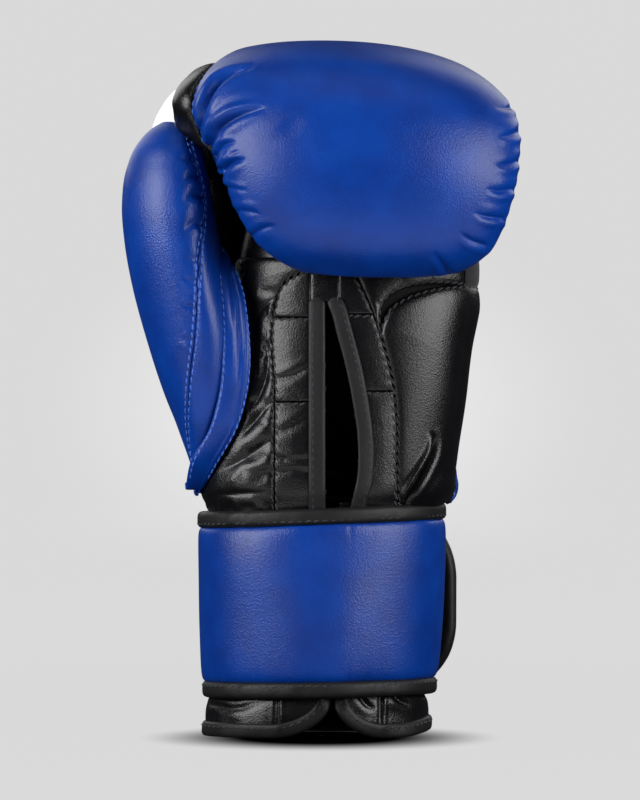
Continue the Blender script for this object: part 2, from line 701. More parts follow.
main_pad, MAIN_P, MAIN_N = mitt_panel(
    "main_pad_cover", 0, 14, heel_edge, blue_edge, 430, 310, BLUE, dense=True,
    settle=dict(pressure=3.0, grow=0.02, low=-1.2, high=2.2), folds=FIST_FOLDS,
    tuck=2.6, soft=2.2, gather=0.55, pitch=9, reach=7, crown=1.6, seed=5)
accent_panel, ACCENT_P, ACCENT_N = mitt_panel(
    "black_accent_panel", 0, 9.05, blue_edge, black_edge, 170, 26, BLACK,
    tuck=2.4, soft=1.9, gather=0.5, pitch=8, reach=5, crown=1.6, seed=9)
white_panel, _, _ = mitt_panel(
    "white_side_panel", 0, 8.5, black_edge, level(213), 150, 70, WHITE,
    tuck=2.4, soft=2.0, gather=0.6, pitch=9, reach=6, crown=1.6, seed=13)
inner_side, _, _ = mitt_panel(
    "mitt_inner_gusset", 0, 14, level(212), lambda t: 355.5 + heel_edge(t), 130, 70, BLACK,
    tuck=3.4, soft=3.0, crown=0.3, seed=17)
PUFF += [(main_pad, 0.85), (accent_panel, 0.8), (white_panel, 0.8), (inner_side, 0.6)]
main_seams = stitches("main_pad_stitches",
                      [[k[8:-8] for k in inset_row(MAIN_P, MAIN_N, e, 2.6)] for e in "dc"],
                      THREAD_BLUE, pitch=3.6, length=2.5, thick=0.36)
accent_seams = stitches("accent_stitches", [inset_row(ACCENT_P, ACCENT_N, e, 2.2) for e in "cd"],
                        THREAD_BLACK, pitch=3.4, length=2.4, thick=0.34)
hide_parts("fist_cover", "fist_foam_outer", "fist_foam_inner", "back_cover", "back_foam")
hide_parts("back_accent_black")
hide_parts("back_accent_white")
for piece in (main_pad, accent_panel, white_panel, inner_side, main_seams, accent_seams):
    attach(piece, "glove")


# ---- thumb --------------------------------------------------------------------------------------

def outer_seam(z):
    """The seam on the palm side of the thumb, as an x for each height."""
    return spline([100, 114, 131, 146, 164, 190, 201, 214, 227, 234, 245, 251, 256],
                  [-51.7, -54.4, -56, -55.2, -52.8, -50.9, -50.1, -48.3, -48.8, -50.7, -54.2, -56.2, -61], z)


THUMB_LOW, THUMB_HIGH = 101.0, 254.8


def thumb_panel(name, first, last, rows, columns, **shape):
    def surface(u, v):
        heights = THUMB_LOW + (THUMB_HIGH - THUMB_LOW) * u
        z = heights[:, None] + 0 * v[None, :]
        return thumb(first(z) + (last(z) - first(z)) * v[None, :], z), thumb_core(heights)
    u, v = places(rows, columns, (0.4, 0.4), (160, 80))
    u = np.concatenate([u[u < 0.9], 0.9 + 0.1 * np.sin(np.linspace(0, 0.5, 26) * math.pi)])
    return sewn(name, surface, u, v, BLUE, "cd", coarse=(50, 26), lips="cd", **shape)


THUMB_FOLDS = [
    [(-49.5, 240, 0.6, 1.6), (-55, 239, 0.7, 1.8), (-60, 239.5, 0.0, 1.6)],
    [(-47.5, 231, 0.9, 1.6), (-53, 231.5, 1.0, 1.6), (-57.5, 230.5, 0.0, 1.4)],
    [(-46.5, 222.5, 1.1, 2.0), (-52, 224, 1.4, 2.0), (-57.5, 222, 0.0, 1.7)],
    [(-46, 211, 1.0, 2.2), (-52.5, 212.5, 1.2, 2.2), (-57, 209, 0.0, 2.0)],
    [(-47, 198, 0.6, 2.0), (-53, 197.5, 0.6, 2.0), (-56.5, 196, 0.0, 1.8)],
    [(-49.5, 187, 1.0, 1.4), (-54, 188.5, 0.9, 1.4), (-57.5, 190, 0.0, 1.2)],
    [(-50.5, 177.5, 1.0, 1.4), (-54.5, 178, 0.9, 1.4), (-58, 178.5, 0.0, 1.2)],
    [(-52, 165, 0.6, 1.5), (-56, 164.5, 0.5, 1.5), (-59, 165.5, 0.0, 1.3)],
]
thumb_outer, OUTER_P, OUTER_N = thumb_panel(
    "thumb_outer_cover", lambda z: thumb_angle(outer_seam(z), z), level(math.radians(292)), 190, 120,
    settle=dict(pressure=3.0, grow=0.004, low=-0.5, high=1.2, ironed=8), folds=THUMB_FOLDS,
    tuck=1.1, soft=1.1, gather=0.3, pitch=10, reach=6, crown=0.8, seed=21)
thumb_inner, INNER_P, INNER_N = thumb_panel(
    "thumb_inner_cover", level(math.radians(-68)), lambda z: thumb_angle(outer_seam(z), z), 170, 70,
    tuck=1.1, soft=1.1, gather=0.1, pitch=9, reach=6, crown=0.5, seed=25)


tip_ring = thumb(np.linspace(0, 2 * math.pi, 60, endpoint=False), np.full(60, 254.4))
tip_top = tip_ring.mean(0) + [0, 0, 0.6]
tip_rows = [tip_top + (tip_ring - tip_top) * share for share in (0.75, 0.5, 0.25, 0.05)]
thumb_tip = grid_object("thumb_tip_cap", np.array([tip_ring, *tip_rows]), BLUE, closed=True)

# crescent panel: from the thumb's inner side onto the palm, with a rolled and stitched outer edge
FLANGE = np.array([
    [101, -54.5, -50, -13, -12], [106, -54, -46.5, -19, -18],
    [113, -52.5, -42.5, -25, -23.5], [127, -45, -34.5, -31, -29],
    [144, -40.5, -29.6, -33.5, -30.5], [158, -39.5, -28.6, -34.5, -30.5],
    [172, -39.5, -29.6, -33.5, -28], [186, -40.5, -32.2, -30.5, -23.5],
    [196, -41.5, -36.5, -26, -19], [202, -42.5, -40.5, -20, -14],
], float)


def flange_surface(u, v):
    z = 101.5 + 100 * u
    left, right, front_left, front_right = read_table(FLANGE, z)
    left = left - 2.0
    x = left[:, None] + (right - left)[:, None] * v[None, :]
    y = front_left[:, None] + (front_right - front_left)[:, None] * v[None, :]
    bulge = np.sin(np.pi * v)[None, :] * (1.2 * np.sin(np.pi * u) ** 0.5)[:, None]
    lip = 0.9 * np.exp(-((v - 0.93) / 0.06) ** 2)[None, :] + 0.5 * np.exp(-((v - 0.76) / 0.05) ** 2)[None, :]
    P = np.stack([x, y - bulge - lip, np.broadcast_to(z[:, None], x.shape)], -1)
    return P, np.array([-42.0, 20, 150])


flange, FLANGE_P, FLANGE_N = sewn(
    "thumb_base_panel_cover", flange_surface, *places(150, 40, (0.4, 0.35), (110, 12)), BLUE, lip=3.0,
    folds=[[(-36.5, 190, 0.6, 1.2), (-34.5, 176, 1.0, 1.2), (-34, 160, 0.7, 1.2), (-35, 146, 0, 1.1)],
           [(-38.5, 196, 0.6, 1.0), (-36.9, 182, 0.9, 1.0), (-36.4, 168, 0.0, 1.0)]],
    tuck=1.3, soft=0.8, gather=0.2, pitch=9, reach=5, seed=31)

thumb_threads = stitches(
    "thumb_stitches", [[k[4:-6] for k in inset_row(OUTER_P, OUTER_N, "c", 1.3)],
                       [k[4:-6] for k in inset_row(INNER_P, INNER_N, "d", 1.5)]],
    THREAD_BLUE, pitch=3.3, length=2.4, thick=0.36)
flange_threads = stitches(
    "thumb_base_stitches", [[k[9:-14] for k in inset_row(FLANGE_P, FLANGE_N, "c", 1.6)],
                            [k[9:-14] for k in inset_row(FLANGE_P, FLANGE_N, "d", 2.0)]],
    THREAD_BLUE, pitch=3.3, length=2.3, thick=0.34)


def thumb_bend(obj):
    """The thumb flexes at its root and along the palm, where it follows the glove."""
    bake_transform(obj)


for piece in (thumb_outer, thumb_inner, thumb_tip, thumb_threads, flange, flange_threads):
    thumb_bend(piece)
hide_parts("thumb_cover", "thumb_foam", "thumb_lining")
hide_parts("thumb_base_panel")
PUFF += [(thumb_outer, 0.85), (thumb_inner, 0.8), (flange, 0.6)]


# ---- palm ---------------------------------------------------------------------------------------

def palm_panel(name, first, last, low, high, rows, columns, material=BLACK, top=None, grow=0.0, width=60.0,
               **shape):
    """A panel of the hand part between two curves of angle. top gives how far its upper edge is raised. width
    is about how wide it is, which sets how close its columns are at the edges."""
    def surface(u, v):
        roof = high + (top(v) if top else 0 * v)
        z = low + (roof - low)[None, :] * u[:, None]
        a, b = first(z), last(z)
        P = hand(a + (b - a) * v[None, :], z, grow)
        return P, np.stack([np.full(len(u), 8.0), np.full(len(u), 2.0), P[:, 0, 2]], -1)
    grid = places(rows, columns, (0.35, 0.35), (high - low, width))
    return sewn(name, surface, *grid, material, coarse=(40, 34), **shape)


def x_line(f):
    return lambda z: angle_at(f(z), z)


def fixed(degrees):
    return level(math.radians(degrees))


PALM_FOLDS = [
    [(-22.8, 163, 0.5, 2.4), (-23, 152, 1.2, 2.8), (-26, 142, 1.5, 3.0), (-30.5, 134, 0.0, 2.8)],
    [(-20.5, 139, 0.7, 2.4), (-27, 132.5, 1.5, 3.0), (-35.5, 121.5, 0.0, 2.8)],
    [(-20.5, 124, 0.9, 2.8), (-28, 118.5, 1.7, 3.4), (-36, 113.5, 1.2, 3.2), (-43, 109.5, 0.0, 2.6)],
    [(-24, 101.5, 0.4, 2.4), (-33, 101, 0.9, 2.6), (-44, 100.5, 0.3, 2.4)],
    [(-21, 181, 0.6, 2.0), (-26, 176, 0.8, 2.4), (-30, 167, 0.0, 2.0)],
]
HEEL_FOLDS = [
    [(33.5, 96, 2.0, 1.3), (37.5, 103, 3.0, 1.4), (42.4, 111, 3.2, 1.4), (45.8, 117.5, 2.6, 1.3),
     (46.9, 123.5, 1.2, 1.2), (45, 127, 0.0, 1.2)],
    [(58.5, 182, 0.0, 5.0), (60.5, 170, 0.9, 6.0), (60, 155, 1.2, 6.0), (57.5, 140, 0.9, 6.0),
     (54, 124, 0.0, 5.0)],
]

palm_thumb, PALM_P, PALM_N = palm_panel(
    "palm_panel_thumb_side_cover", fixed(-118), x_line(lambda z: thumb_seam(z) - 0.05), 87, 199, 200, 150,
    settle=dict(pressure=2.0, grow=0.006, low=-0.8, high=1.2), folds=PALM_FOLDS,
    tuck=1.3, soft=1.1, gather=0.15, pitch=13, reach=6, crown=0.8, seed=41)
STRIP_FOLDS = [[(-20, 116, 1.0, 1.4), (-12, 114.6, 1.3, 1.4), (-4, 115.8, 0.8, 1.2)],
               [(-20, 110, 0.6, 1.4), (-12, 111, 0.9, 1.4), (-5, 110, 0.4, 1.2)],
               [(-20, 148, 0.3, 1.6), (-12, 150, 0.7, 1.8), (-4, 154, 0.3, 1.6)],
               [(-19, 126, 0.3, 1.6), (-12, 129, 0.6, 1.8), (-5, 133, 0.3, 1.6)]]


def strips_between(side, first, last, levels, rows, seed, folds=()):
    """The sewn lengths of a palm strip, one above the other: the pieces, then their points and normals."""
    made = [palm_panel(f"palm_strip_{k + 1}_{side}", x_line(first), x_line(last), low, high, rows, 30,
                       width=12.0, folds=folds, tuck=0.55, soft=0.45, gather=0.3, pitch=8, reach=4, crown=0.5,
                       seed=seed + k) for k, (low, high) in enumerate(levels)]
    return [piece for piece, _, _ in made], [(P, N) for _, P, N in made]


strips, strip_rows = strips_between("thumb_side", lambda z: thumb_seam(z) + 0.05, level(-4.6),
                                    [(87, 138.9), (139.1, 173.8), (174, 194)], 34, 50, STRIP_FOLDS)
heel_strips, heel_rows = strips_between(
    "heel_side", lambda z: slit_right(z) + 4.8, lambda z: bold_seam(z) - 0.05,
    [(87, 143.2), (143.4, 175), (175.2, 197)], 40, 60)


def heel_roof(v):
    return spline([0, 0.03, 0.08, 0.16, 0.28, 0.45, 0.7, 1.0], [-20, -15, -9.5, -5, -1.5, 0.5, 1, 0], v)


heel_pad, HEEL_P, HEEL_N = palm_panel(
    "heel_pad_leather", x_line(lambda z: bold_seam(z) + 0.05), fixed(104), 87, 186.5, 200, 170, top=heel_roof,
    settle=dict(pressure=3.5, grow=0.0, low=-0.8, high=1.8), folds=HEEL_FOLDS,
    tuck=1.8, soft=1.4, gather=0.16, pitch=15, reach=6, crown=2.0, seed=71)


def roof_surface(u, v):
    """Between the heel pad's arched top and the lip of the mitt."""
    base = 186.5 + heel_roof(v)
    z = base[None, :] + (200.5 - base)[None, :] * u[:, None]
    a, b = angle_at(bold_seam(z) + 0.05, z), math.radians(62) + 0 * z
    return hand(a + (b - a) * v[None, :], z), np.array([8.0, 2.0, 190.0])


palm_top, TOP_P, TOP_N = sewn(
    "palm_top_panel", roof_surface, *places(30, 80, (0.35, 0.35), (16, 45)),
    tuck=1.3, soft=1.0, gather=0.6, pitch=8, reach=5, crown=0.8, seed=83)

heel_gusset, _, _ = palm_panel(
    "heel_side_gusset", fixed(62), fixed(128), 186.5, 204, 24, 60, MESH, tuck=0.9, soft=0.9, gather=0.3,
    pitch=6, reach=4, crown=0.3, seed=87)
heel_back_gusset, _, _ = palm_panel(
    "heel_back_gusset", fixed(104), fixed(128), 87, 186.5, 90, 24, tuck=1.2, soft=1.0, gather=0.4,
    pitch=8, reach=5, crown=0.4, seed=89)
slit_bridge, _, _ = palm_panel(
    "palm_bridge_panel", x_line(level(-4.7)), x_line(lambda z: slit_right(z) + 4.9), 180.5, 197, 20, 20,
    width=12.0, tuck=0.4, soft=0.5, gather=0.2, pitch=8, reach=3, crown=0.0, seed=93)
finger_shell, _, _ = palm_panel(
    "finger_pocket_shell", fixed(-150), fixed(150), 190, 237, 40, 140, grow=-1.8, tuck=0.6, soft=1.0,
    gather=0.4, pitch=9, reach=6, crown=0.3, seed=91)


def side_wall(name, hand_degrees, mitt_degrees, bulge, seed):
    """Closes the side of the glove between the hand part and the mitt, from the cuff up to the knuckles."""
    def surface(u, v):
        t = 4.7 * u
        outer = mitt(t, np.full(len(t), math.radians(mitt_degrees)))
        inner = hand(np.full(len(t), math.radians(hand_degrees)), np.clip(outer[:, 2] - 0.5, 88, 237.5), -0.6)
        P = inner[:, None, :] + (outer - inner)[:, None, :] * v[None, :, None]
        belly = np.sin(np.pi * v)[None, :] * np.clip(1.1 - u, 0, 1)[:, None]
        P = P + np.array([bulge, 0, 0]) * belly[..., None]
        return P, np.stack([0 * u + 8, P[:, 17, 1], P[:, 17, 2]], -1)
    return sewn(name, surface, *places(130, 34, (0.4, 0.4), (140, 30)), edges="cd", lip=1.5,
                tuck=1.2, soft=1.2, gather=0.35, pitch=11, reach=7, crown=0.4, seed=seed)[0]


wall_heel = side_wall("side_wall_heel_side", 98, 332, 2.5, 95)
wall_thumb = side_wall("side_wall_thumb_side", -104, 217, -2.5, 97)

palm_threads = stitches("palm_stitches", [inset_row(PALM_P, PALM_N, "d", 1.1)]
                        + [inset_row(P, N, "c", 1.0) for P, N in strip_rows]
                        + [inset_row(P, N, "b", 1.0) for P, N in strip_rows[:2] + heel_rows[:2]]
                        + [inset_row(HEEL_P, HEEL_N, "b", 1.5), inset_row(TOP_P, TOP_N, "a", 1.3)],
                        THREAD_BLACK, pitch=3.5, length=2.9, thick=0.45, slant=0.3)
bold_threads = stitches("heel_seam_stitches", [inset_row(HEEL_P, HEEL_N, "c", 1.2)]
                        + [inset_row(P, N, "d", 1.0) for P, N in heel_rows],
                        THREAD_BLACK, pitch=4.0, length=3.5, thick=0.55, slant=0.35)


def on_palm(x, z, lift=0.0):
    """Points and normals on the palm's surface along a line of x and z."""
    x, z = np.asarray(x, float), np.asarray(z, float)
    P = hand(angle_at(x, z), z)
    step = 0.5
    a = hand(angle_at(x + step, z), z) - hand(angle_at(x - step, z), z)
    b = hand(angle_at(x, z + step), z + step) - hand(angle_at(x, z - step), z - step)
    n = unit(np.cross(a, b))
    n *= -np.sign(n[:, 1:2])
    return P + n * lift, n


z = np.linspace(87, SLIT_TOP + 1, 74)
left_line = on_palm(np.full_like(z, SLIT_LEFT - 3.2), z, 0.6)
right_line = on_palm(slit_right(z) + 2.9, z, 0.6)
binding_left = tape("slit_binding_thumb_side", *left_line, 3.5, 1.15, BINDING)
binding_right = tape("slit_binding_heel_side", *right_line, 3.3, 1.15, BINDING)
row_left = on_palm(np.full_like(z, SLIT_LEFT - 4.7), z, 1.62)
row_right = on_palm(slit_right(z) + 4.4, z, 1.62)
binding_threads = stitches("slit_binding_stitches", [row_left, row_right], THREAD_BLACK,
                           pitch=3.4, length=2.3, thick=0.32)

palm_pieces = [palm_thumb, *strips, *heel_strips, heel_pad, palm_top, heel_gusset, heel_back_gusset,
               slit_bridge, finger_shell, wall_heel, wall_thumb, palm_threads, bold_threads, binding_left,
               binding_right, binding_threads]
for piece in palm_pieces:
    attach(piece, "glove")
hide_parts("palm_panel_thumb_side")
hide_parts("side_gusset_thumb_side")
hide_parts("side_gusset_heel_side")
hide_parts("palm_strip_heel_side")
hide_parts("heel_pad_cover", "heel_pad_foam")
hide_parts("finger_pocket")
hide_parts("slit_binding")
PUFF += [(palm_thumb, 0.3), (heel_pad, 0.6), (palm_top, 0.3)] + [(p, 0.3) for p in strips + heel_strips]


# ---- cuff ---------------------------------------------------------------------------------------

CUFF = np.array([[0, -2.4, 46.6, 35.0, 36.2], [8, -2.0, 46.6, 35.4, 36.2], [14.5, -1.6, 45.6, 35.2, 36.0],
                 [19, -1.2, 43.8, 34.6, 35.6], [25, -1.0, 43.4, 34.4, 35.6], [60, -0.3, 44.8, 34.6, 35.6],
                 [98, 0, 45.4, 34.6, 35.6]], float)


def cuff(angle, z, grow=0.0):
    """The cuff under the strap: angle 0 at the palm side, 90 degrees at the heel side, 180 behind."""
    shift, wide, front, back = read_table(CUFF, z)
    s, c = np.sin(angle), np.cos(angle)
    depth = np.where(c > 0, front, back) + grow
    return np.stack([shift + (wide + grow) * s, 1 - depth * c, np.broadcast_to(z, s.shape)], -1)


def cuff_angle(x, z):
    shift, wide, _, _ = read_table(CUFF, z)
    return np.arcsin(np.clip((x - shift) / wide, -1, 1))


CUFF_TOP = 97.5


def cuff_panel(name, first, last, floor_line, rows, columns, seed, **shape):
    """A leather panel of the cuff. floor_line gives the height of its lower edge across its width."""
    def surface(u, v):
        low = floor_line(v)
        z = low[None, :] + (CUFF_TOP - low)[None, :] * u[:, None]
        a, b = first(z), last(z)
        return cuff(a + (b - a) * v[None, :], z), np.stack([0 * u, 1 + 0 * u, z[:, 0]], -1)

    def swell(P):
        wide = noise(P / np.array([15, 15, 10.0]) + 0.3, seed)
        narrow = noise(P / np.array([7, 7, 5.0]), seed + 5)
        return (0.7 * wide + 0.25 * narrow) * ease((26 - P[..., 2]) / 10)
    return sewn(name, surface, *places(rows, columns, (0.4, 0.4), (95, 55)), edges="cd", swell=swell, lip=1.6,
                seed=seed, **shape)


def corner_line(v, reach, rise):
    """How far the lower edge lifts where a flap meets the slit; v is the share of the width away from it."""
    return rise * (1 - np.sqrt(np.clip(1 - np.clip(1 - v / reach, 0, 1) ** 2, 0, 1)))


FLAP_FOLDS = [[(x, 26, 0.9, 0.9), (x + 0.3, 14, 1.3, 0.9), (x, 5, 0.8, 0.9)] for x in (-18.5, 24.0)] + [
    [(-48, 23, 0.5, 1.4), (-38, 19, 1.0, 1.4), (-27, 20.5, 0.0, 1.2)],
    [(-46, 13.5, 0.4, 1.3), (-36, 12, 0.8, 1.4), (-24, 15.5, 0.0, 1.2)],
    [(13, 22, 0.8, 1.2), (18, 14.5, 1.1, 1.3), (22, 12, 0.0, 1.1)],
    [(27, 23, 0.7, 1.2), (31.5, 16, 1.1, 1.2), (38, 12.5, 0.0, 1.1)],
    [(35, 24, 0.6, 1.1), (41, 19, 1.0, 1.2), (46, 14, 0.0, 1.0)],
]
flap_left, LEFT_P, LEFT_N = cuff_panel(
    "cuff_flap_thumb_side_cover", fixed(-105), lambda z: cuff_angle(1.3, z),
    lambda v: 3.0 + corner_line(1 - v, 0.27, 15), 110, 110, 101, folds=FLAP_FOLDS,
    tuck=0.7, soft=0.8, gather=0.9, pitch=7, reach=6)
flap_right, RIGHT_P, RIGHT_N = cuff_panel(
    "cuff_flap_heel_side_cover", lambda z: cuff_angle(7.3, z), fixed(105),
    lambda v: 3.0 + corner_line(v, 0.27, 15) + 2.6 * ease((v - 0.35) / 0.5), 110, 100, 103, folds=FLAP_FOLDS,
    tuck=0.7, soft=0.8, gather=0.9, pitch=7, reach=6)
cuff_back, BACK_P, BACK_N = cuff_panel(
    "cuff_back_leather", fixed(105), fixed(255), lambda v: 3.0 + 2.6 * (1 - ease(v / 0.25)), 70, 90, 105,
    tuck=0.9, soft=1.0, gather=0.5, pitch=9, reach=7)

rim_points, rim_normals = [], []
for line, out in ((LEFT_P[::-1, -1], LEFT_N[::-1, -1]), (LEFT_P[0, ::-1], LEFT_N[0, ::-1]),
                  (BACK_P[0, ::-1], BACK_N[0, ::-1]),
                  (RIGHT_P[0, ::-1], RIGHT_N[0, ::-1]), (RIGHT_P[:, 0], RIGHT_N[:, 0])):
    shown = line[:, 2] < 30
    rim_points += list(line[shown])
    rim_normals += list(out[shown])


def evened(points, normals, count, smooth=3):
    """The same line with even spacing and its corners eased."""
    points, normals = np.array(points, float), np.array(normals, float)
    run = running(points)
    keep = np.concatenate([[True], np.diff(run) > 1e-4])
    at = np.linspace(0, run[-1], count)
    P, N = (eased(read_along(at, run[keep], rows[keep]), smooth) for rows in (points, normals))
    return P, unit(N)


rim_line, rim_out = evened(rim_points, rim_normals, 330)
rim_line[:, 2] = np.maximum(rim_line[:, 2], 3.1)
cuff_rim = tape("cuff_edge_binding", rim_line - rim_out * 0.2, rim_out, 3.05, 1.5, BINDING)
rim_threads = stitches("cuff_edge_stitches", [(rim_line + rim_out * 1.25 + np.array([0, 0, 1.2]), rim_out)],
                       THREAD_BLACK, pitch=3.5, length=2.4, thick=0.33)


def lining_surface():
    z = np.concatenate([np.linspace(1.5, 96, 34), np.linspace(99, 232, 44), [235, 236.5, 237]])
    angle = np.linspace(-math.pi, math.pi, 180, endpoint=False)
    Z, A = np.meshgrid(z, angle, indexing="ij")
    front = ease(np.cos(A) * 6)
    lift = 15.5 * (1 - np.sqrt(1 - np.clip(1 - (np.abs(46 * np.sin(A) - 4.3) - 3) / 21, 0, 1) ** 2)) * front
    Z = Z + lift * ease((30 - Z) / 28)
    lower, upper = cuff(A, Z, -2.2), hand(A, np.maximum(Z, 88), -3.4)
    w = ease((Z - 90) / 12)[..., None]
    P = lower * (1 - w) + upper * w
    pinch = ease((Z - 226) / 11)[..., None]
    centre = np.stack([np.full(Z.shape, 12.0), np.full(Z.shape, -2.0), Z], -1)
    return P + (centre - P) * pinch * 0.93


LINING_P = lining_surface()
faces = []
for face in grid_faces(LINING_P.shape[0], LINING_P.shape[1], closed=True):
    x, y, zz = LINING_P.reshape(-1, 3)[face].mean(0)
    right = slit_right(zz) if zz > 97 else 7.4
    if not (y < 0 and SLIT_LEFT - 0.4 < x < right + 0.6 and zz < SLIT_TOP - 1):
        faces.append(face[::-1])
lining = mesh_object("hand_lining_cloth", LINING_P.reshape(-1, 3), faces, LINING)
thick = lining.modifiers.new("thickness", "SOLIDIFY")
thick.thickness = 0.0007
thick.offset = -1


# ---- closure strap ------------------------------------------------------------------------------

STRAP_LOW, STRAP_HIGH = 17.0, 95.0
STRAP_MIDDLE = (STRAP_LOW + STRAP_HIGH) / 2
STRAP_HEIGHT = STRAP_HIGH - STRAP_LOW
STRAP_CORNER = 30.0                   # radius of the tail's corners
RING_X, RING_Y = 46.9, 37.0           # half axes of the oval that the strap follows
LEAVE_ANGLE = math.pi - math.asin(30 / RING_X)
STRAP_SEED = 5


def strap_ring(angle):
    return np.stack([RING_X * np.sin(angle), 1 - RING_Y * np.cos(angle)], -1)


def strap_run(count=1600):
    """The strap's middle line seen from above: round the cuff from the root, then straight along the tail.
    Returns points, outward normals and running length, all starting at the root."""
    angle = np.linspace(math.radians(98), LEAVE_ANGLE - 2 * math.pi, count)
    ring = strap_ring(angle)
    out = unit(np.stack([np.sin(angle) / RING_X, -np.cos(angle) / RING_Y], 1))
    straight = ring[-1] + unit(ring[-1] - ring[-2]) * np.linspace(0.3, 29, 90)[:, None]
    P = np.vstack([ring, straight])
    N = eased(np.vstack([out, np.repeat(out[-1:], len(straight), 0)]), 40)
    return P, unit(N), running(P)


RUN_P, RUN_N, RUN = strap_run()
STRAP_END = RUN[-1]


def run_at_angle(degrees):
    """Running length at which the strap passes an angle round the cuff."""
    return RUN[np.argmin(np.linalg.norm(RUN_P - strap_ring(math.radians(degrees)), axis=1))]


def strap_out(w):
    """Outward directions of the strap, level, at running lengths."""
    return np.concatenate([read_along(w, RUN, RUN_N), 0 * w[..., None]], -1)


def strap_point(w, z, stand):
    """A point of the strap from its running length, height and how far it stands off the inner face."""
    p = read_along(w, RUN, RUN_P) + read_along(w, RUN, RUN_N) * stand
    low = (STRAP_HIGH - z) / STRAP_HEIGHT
    tilt = p[..., 0] * (0.016 + 0.022 * (1 - low))
    body = 1 - ease((w - STRAP_END + 60) / 60)
    draw_in = low * (2.2 * ease(-p[..., 0] / 30) - 4.2 * ease(p[..., 0] / 30)) * body
    return np.stack([p[..., 0] + draw_in, p[..., 1], z + tilt * body], -1)


def strap_half(w, inset):
    """Half the strap's height: full along the strap and rounded off at the tail's tip."""
    corner, full = STRAP_CORNER - inset, STRAP_HEIGHT / 2 - inset
    past = np.clip((w - (STRAP_END - inset - corner)) / corner, 0, 1)
    return full - corner + corner * np.sqrt(np.clip(1 - past ** 2, 0, 1))


def strap_panel(name, w0, w1, stand, inset, material, rows, crown=0.0, inward=False, tail=False, z_half=None):
    """One face of a stretch of the strap. crown is how far it is padded out."""
    share = spread(int(rows * FINE), 0.4, abs(w1 - w0)) if tail else np.linspace(0, 1, int(rows * FINE))
    w = w0 + (w1 - w0) * share
    v = spread(int(64 * FINE), 0.35, 66)
    half = strap_half(w, inset) if z_half is None else np.full(len(w), z_half)
    z = STRAP_MIDDLE + half[:, None] * (2 * v[None, :] - 1)
    W = np.broadcast_to(w[:, None], z.shape)
    d = np.minimum(v, 1 - v)[None, :] * 2 * half[:, None]
    if tail:
        d = np.minimum(d, (w1 - w)[:, None])
    puff = crown * (1 - np.exp(-d / 5.5)) - (1.5 if crown else 0.3) * np.exp(-d / 1.0)
    if crown:
        ripple = noise(np.stack([W / 13, z / 60, 0 * W], -1), STRAP_SEED) * 0.45 * np.exp(-d / 16)
        swells = noise(np.stack([W / 34, z / 42, 0 * W + 3], -1), STRAP_SEED + 1)
        ripple += swells * 0.8 * (1 - np.exp(-d / 10))
        fold = (1 - np.abs(noise1(w / 9.5, STRAP_SEED + 4)))[:, None] ** 7 * np.exp(-d / 4.5) * 0.45
        puff = puff + ripple - fold
    out = strap_out(W) * (-1 if inward else 1)
    return grid_object(name, strap_point(W, z, stand) + out * puff[..., None], material, outward=out)


def strap_edge_line(w0, w1, inset, stand, side):
    """The line a binding follows along one edge of the strap, and its outward directions."""
    w = np.linspace(w0, w1, int(abs(w1 - w0) * 1.1) + 8)
    return strap_point(w, STRAP_MIDDLE + side * strap_half(w, inset), stand), unit(strap_out(w))


def strap_tip_line(w0, inset, stand):
    """The same for the tail: along the top edge, round the tip and back."""
    corner = STRAP_CORNER - inset
    start = STRAP_END - inset - corner
    w = np.concatenate([np.linspace(w0, start, int((start - w0) * 0.8), endpoint=False),
                        start + corner * np.sin(np.linspace(0, 1, 60) * math.pi / 2)])
    half = strap_half(w, inset)
    end = np.linspace(half[-1], -half[-1], 24)[1:-1]
    W = np.concatenate([w, np.full(len(end), w[-1]), w[::-1]])
    Z = STRAP_MIDDLE + np.concatenate([half, end, -half[::-1]])
    return evened(strap_point(W, Z, stand), unit(strap_out(W)), 300, 2)


def strap_length(name, w0, w1, rows, tail=False):
    """All the pieces of one stretch of the strap."""
    inset, back_inset = 6.2, 2.0
    ends = (w1 - inset, w1 - back_inset) if tail else (w1, w1)
    made = [strap_panel(f"{name}_leather", w0, ends[0], 4.7, inset, BLUE, rows, 0.8, tail=tail),
            strap_panel(f"{name}_inside", w0, ends[1], 0.2, back_inset, LINING, rows, inward=True, tail=tail)]
    for side, end in ((0, "edge"),) if tail else ((1, "top"), (-1, "bottom")):
        fold, seam = (strap_tip_line(w0, *place) if tail else strap_edge_line(w0, w1, *place, side)
                      for place in ((3.3, 2.5), (5.0, 4.95)))
        made.append(tape(f"{name}_{end}_binding", *fold, 3.5, 2.75, BINDING, ends=False))
        made.append(stitches(f"{name}_{end}_stitches", [seam], THREAD_BLACK, pitch=3.5, length=2.5,
                             thick=0.36))
    return made


ROOT_W, FRONT_W, SIDE_W, BACK_W = 0.0, run_at_angle(80), run_at_angle(-80), run_at_angle(-125)
root = strap_length("strap_root", ROOT_W, FRONT_W, 14)
front = strap_length("strap_front", FRONT_W, SIDE_W, 200)
side = strap_length("strap_thumb_side", SIDE_W, BACK_W, 60)
tail = strap_length("strap_tail", BACK_W, STRAP_END, 150, tail=True)
hook = strap_panel("hook_tape", run_at_angle(-190), run_at_angle(-217), -0.15, 0, HOOK, 40, inward=True,
                   z_half=28)
loop_patch = strap_panel("loop_tape", run_at_angle(-141), run_at_angle(-219), -1.0, 0, LOOP, 60, z_half=28)
for piece in root:
    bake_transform(piece)
for piece in front:
    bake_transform(piece)
for piece in side:
    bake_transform(piece)
for piece in tail:
    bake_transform(piece)
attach(hook, "strap_tail")
for piece in (flap_left, flap_right, cuff_back, cuff_rim, rim_threads, lining, loop_patch):
    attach(piece, "glove")
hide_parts("cuff_flap_thumb_side")
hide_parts("cuff_flap_heel_side")
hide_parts("cuff_back_cover", "cuff_back_foam")
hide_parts("cuff_rim_binding")
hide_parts("hand_lining")
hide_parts("loop_patch")
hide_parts("hook_patch")
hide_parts("strap_root_web")
